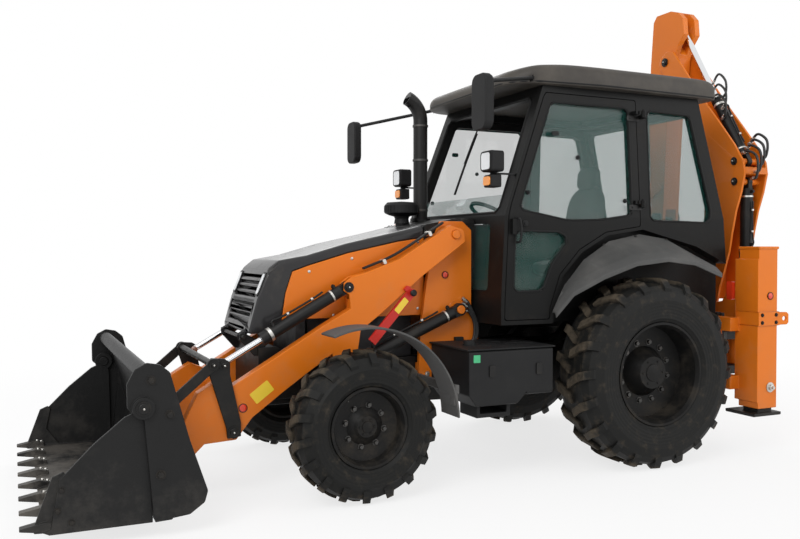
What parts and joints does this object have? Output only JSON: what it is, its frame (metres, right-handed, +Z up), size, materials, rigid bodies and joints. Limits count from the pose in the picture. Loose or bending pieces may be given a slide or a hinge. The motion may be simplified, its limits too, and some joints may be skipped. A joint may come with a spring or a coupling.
{
  "type": "backhoe loader",
  "caption": "Wheeled backhoe loader: cab, clam front bucket on lift arms with tilt linkage, side-shifting digging arm stowed crosswise behind, and vertical stabiliser legs.",
  "frame": {"origin": "on the ground under the middle of the machine, halfway between its foremost and rearmost points", "axes": "+X forward towards the front bucket, +Y to the machine's left, +Z up"},
  "size_m": [6.001, 2.49, 3.905],
  "materials": {
    "orange_paint": "gloss orange enamel, dusty",
    "dark_paint": "satin near-black",
    "black_paint": "satin black",
    "red_paint": "gloss red",
    "gray_plastic": "matte gray moulding",
    "black_plastic": "matte black moulding",
    "tyre_rubber": "worn rubber",
    "tinted_glass": "lightly tinted safety glass",
    "chrome_rod": "polished hard chrome",
    "engine_iron": "painted casting",
    "seat_vinyl": "black vinyl"
  },
  "bodies": {
    "chassis": {"chassis_frame": "black_paint", "loader_towers": "orange_paint", "engine_block": "engine_iron", "cowl": "black_paint", "exhaust_stack": "black_paint", "air_precleaner": "black_plastic", "front_axle": "black_paint", "rear_axle": "black_paint", "cab_frame": "dark_paint", "cab_roof": "gray_plastic", "cab_glass": "tinted_glass", "operator_seat": "seat_vinyl", "cab_controls": "black_plastic", "mirrors_and_lamps": "black_plastic", "rear_fenders": "gray_plastic", "front_fenders": "gray_plastic", "side_tanks": "black_plastic", "rear_frame": "orange_paint"},
    "knuckle_left": {"steering_knuckle_left": "black_paint"},
    "knuckle_right": {"steering_knuckle_right": "black_paint"},
    "wheel_front_left": {"tyre_front_left": "tyre_rubber", "rim_front_left": "black_paint"},
    "wheel_front_right": {"tyre_front_right": "tyre_rubber", "rim_front_right": "black_paint"},
    "wheel_rear_left": {"tyre_rear_left": "tyre_rubber", "rim_rear_left": "black_paint"},
    "wheel_rear_right": {"tyre_rear_right": "tyre_rubber", "rim_rear_right": "black_paint"},
    "hood": {"hood_cover": "black_paint", "hood_side_panels": "orange_paint"},
    "door_left": {"door_frame_left": "dark_paint", "door_glass_left": "tinted_glass"},
    "door_right": {"door_frame_right": "dark_paint", "door_glass_right": "tinted_glass"},
    "arms": {"loader_arms": "orange_paint", "safety_strut": "red_paint"},
    "lift_barrel": {"lift_barrels": "black_paint"},
    "lift_rod": {"lift_rods": "chrome_rod"},
    "bucket": {"loader_bucket": "black_paint"},
    "clam": {"loader_clam": "black_paint"},
    "levers": {"tilt_levers": "black_paint"},
    "links": {"tilt_links": "black_paint"},
    "tilt_barrel": {"tilt_barrels": "black_paint"},
    "tilt_rod": {"tilt_rods": "chrome_rod"},
    "carriage": {"hoe_carriage": "black_paint"},
    "tower": {"swing_tower": "orange_paint"},
    "boom": {"boom": "orange_paint"},
    "dipper": {"dipper": "orange_paint"},
    "digging_bucket": {"hoe_bucket": "black_paint"},
    "rocker": {"hoe_rocker": "orange_paint"},
    "bucket_link": {"hoe_link": "orange_paint"},
    "boom_barrel": {"hoe_boom_barrel": "black_paint"},
    "boom_rod": {"hoe_boom_rod": "chrome_rod"},
    "dipper_barrel": {"hoe_dipper_barrel": "black_paint"},
    "dipper_rod": {"hoe_dipper_rod": "chrome_rod"},
    "bucket_barrel": {"hoe_bucket_barrel": "black_paint"},
    "bucket_rod": {"hoe_bucket_rod": "chrome_rod"},
    "leg_left": {"stabiliser_leg_left": "black_paint"},
    "leg_right": {"stabiliser_leg_right": "black_paint"}
  },
  "joints": [
    {"name": "steer_left", "type": "hinge", "parent": "chassis", "child": "knuckle_left", "pos_m": [0.96, 0.742, 0.495], "axis": [0, 0, 1], "range_deg": [-28, 28]},
    {"name": "steer_right", "type": "hinge", "parent": "chassis", "child": "knuckle_right", "pos_m": [0.96, -0.742, 0.495], "axis": [0, 0, 1], "range_deg": [-28, 28]},
    {"name": "roll_front_left", "type": "hinge", "parent": "knuckle_left", "child": "wheel_front_left", "pos_m": [0.96, 0.92, 0.495], "axis": [0, 1, 0], "continuous": true},
    {"name": "roll_front_right", "type": "hinge", "parent": "knuckle_right", "child": "wheel_front_right", "pos_m": [0.96, -0.92, 0.495], "axis": [0, 1, 0], "continuous": true},
    {"name": "roll_rear_left", "type": "hinge", "parent": "chassis", "child": "wheel_rear_left", "pos_m": [-1.34, 0.945, 0.712], "axis": [0, 1, 0], "continuous": true},
    {"name": "roll_rear_right", "type": "hinge", "parent": "chassis", "child": "wheel_rear_right", "pos_m": [-1.34, -0.945, 0.712], "axis": [0, 1, 0], "continuous": true},
    {"name": "hood_lift", "type": "hinge", "parent": "chassis", "child": "hood", "pos_m": [1.59, 0, 1.035], "axis": [0, 1, 0], "range_deg": [0, 60]},
    {"name": "door_left_swing", "type": "hinge", "parent": "chassis", "child": "door_left", "pos_m": [-1.412, 0.826, 1.973], "axis": [0, 0, 1], "range_deg": [0, 80]},
    {"name": "door_right_swing", "type": "hinge", "parent": "chassis", "child": "door_right", "pos_m": [-1.412, -0.826, 1.973], "axis": [0, 0, -1], "range_deg": [0, 80]},
    {"name": "loader_lift", "type": "hinge", "parent": "chassis", "child": "arms", "pos_m": [0.06, 0, 1.745], "axis": [0, -1, 0], "range_deg": [0, 78]},
    {"name": "lift_barrel_swing", "type": "hinge", "parent": "chassis", "child": "lift_barrel", "pos_m": [0.005, 0, 1.19], "axis": [0, -1, 0], "range_deg": [-0.5, 72.55]},
    {"name": "lift_rod_slide", "type": "slide", "parent": "lift_barrel", "child": "lift_rod", "axis": [0.9184, 0, -0.3958], "range_m": [-0.005, 0.7023]},
    {"name": "bucket_tilt", "type": "hinge", "parent": "arms", "child": "bucket", "pos_m": [2.09, 0, 0.33], "axis": [0, 1, 0], "range_deg": [-40, 75]},
    {"name": "lever_swing", "type": "hinge", "parent": "arms", "child": "levers", "pos_m": [1.715, 0, 0.44], "axis": [0, 1, 0], "range_deg": [-23.54, 43.69]},
    {"name": "link_swing", "type": "hinge", "parent": "levers", "child": "links", "pos_m": [1.85, 0, 0.89], "axis": [0, 1, 0], "range_deg": [-52.09, 28.01]},
    {"name": "tilt_barrel_swing", "type": "hinge", "parent": "arms", "child": "tilt_barrel", "pos_m": [0.9, 0, 1.372], "axis": [0, 1, 0], "range_deg": [-2.7, 1.67]},
    {"name": "tilt_rod_slide", "type": "slide", "parent": "tilt_barrel", "child": "tilt_rod", "axis": [0.8717, 0, -0.4901], "range_m": [-0.1724, 0.3188]},
    {"name": "clam_open", "type": "hinge", "parent": "bucket", "child": "clam", "pos_m": [2.365, 0, 0.748], "axis": [0, -1, 0], "range_deg": [0, 60]},
    {"name": "side_shift", "type": "slide", "parent": "chassis", "child": "carriage", "axis": [0, -1, 0], "range_m": [-0.14, 1]},
    {"name": "swing", "type": "hinge", "parent": "carriage", "child": "tower", "pos_m": [-2.8, 0.43, 0.795], "axis": [0, 0, -1], "range_deg": [0, 180]},
    {"name": "boom_lower", "type": "hinge", "parent": "tower", "child": "boom", "pos_m": [-2.8, 0.24, 1.11], "axis": [1, 0, 0], "range_deg": [0, 100]},
    {"name": "boom_barrel_swing", "type": "hinge", "parent": "boom", "child": "boom_barrel", "pos_m": [-2.8, 0.54, 2.225], "axis": [-1, 0, 0], "range_deg": [-0.5, 5.56]},
    {"name": "boom_rod_slide", "type": "slide", "parent": "boom_barrel", "child": "boom_rod", "axis": [0, -0.0051, -1], "range_m": [-0.005, 0.5031]},
    {"name": "dipper_swing", "type": "hinge", "parent": "boom", "child": "dipper", "pos_m": [-2.8, -0.33, 3.42], "axis": [-1, 0, 0], "range_deg": [0, 115]},
    {"name": "dipper_barrel_swing", "type": "hinge", "parent": "boom", "child": "dipper_barrel", "pos_m": [-2.8, 0.535, 2.4], "axis": [-1, 0, 0], "range_deg": [-2.13, 0.5]},
    {"name": "dipper_rod_slide", "type": "slide", "parent": "dipper_barrel", "child": "dipper_rod", "axis": [0, -0.5045, 0.8634], "range_m": [-0.5712, 0.005]},
    {"name": "digging_bucket_swing", "type": "hinge", "parent": "dipper", "child": "digging_bucket", "pos_m": [-2.8, -0.475, 1.93], "axis": [-1, 0, 0], "range_deg": [0, 120]},
    {"name": "rocker_swing", "type": "hinge", "parent": "dipper", "child": "rocker", "pos_m": [-2.8, -0.45, 2.23], "axis": [-1, 0, 0], "range_deg": [-0.5, 44.15]},
    {"name": "bucket_link_swing", "type": "hinge", "parent": "rocker", "child": "bucket_link", "pos_m": [-2.8, -0.7, 2.06], "axis": [-1, 0, 0], "range_deg": [-21.85, 0.5]},
    {"name": "bucket_barrel_swing", "type": "hinge", "parent": "dipper", "child": "bucket_barrel", "pos_m": [-2.8, -0.656, 3.06], "axis": [-1, 0, 0], "range_deg": [-0.5, 5.31]},
    {"name": "bucket_rod_slide", "type": "slide", "parent": "bucket_barrel", "child": "bucket_rod", "axis": [0, -0.044, -0.999], "range_m": [-0.2167, 0.005]},
    {"name": "leg_left_lower", "type": "slide", "parent": "chassis", "child": "leg_left", "axis": [0, 0, -1], "range_m": [0, 0.3]},
    {"name": "leg_right_lower", "type": "slide", "parent": "chassis", "child": "leg_right", "axis": [0, 0, -1], "range_m": [0, 0.3]}
  ],
  "couplings": [
    {"joint": "steer_right", "follows": "steer_left", "ratio": 1},
    {"joint": "lift_barrel_swing", "follows": "loader_lift", "ratio": 0.9237},
    {"joint": "lift_rod_slide", "follows": "loader_lift", "m_per_rad": 0.5122},
    {"joint": "lever_swing", "follows": "bucket_tilt", "ratio": 0.5759},
    {"joint": "link_swing", "follows": "bucket_tilt", "ratio": -0.6878},
    {"joint": "tilt_barrel_swing", "follows": "bucket_tilt", "ratio": -0.02935},
    {"joint": "tilt_rod_slide", "follows": "bucket_tilt", "m_per_rad": 0.23973},
    {"joint": "boom_barrel_swing", "follows": "boom_lower", "ratio": 0.05056},
    {"joint": "boom_rod_slide", "follows": "boom_lower", "m_per_rad": 0.28538},
    {"joint": "dipper_barrel_swing", "follows": "dipper_swing", "ratio": -0.01415},
    {"joint": "dipper_rod_slide", "follows": "dipper_swing", "m_per_rad": -0.28207},
    {"joint": "rocker_swing", "follows": "digging_bucket_swing", "ratio": 0.36377},
    {"joint": "bucket_link_swing", "follows": "digging_bucket_swing", "ratio": -0.17789},
    {"joint": "bucket_barrel_swing", "follows": "digging_bucket_swing", "ratio": 0.04011},
    {"joint": "bucket_rod_slide", "follows": "digging_bucket_swing", "m_per_rad": -0.10108}
  ]
}
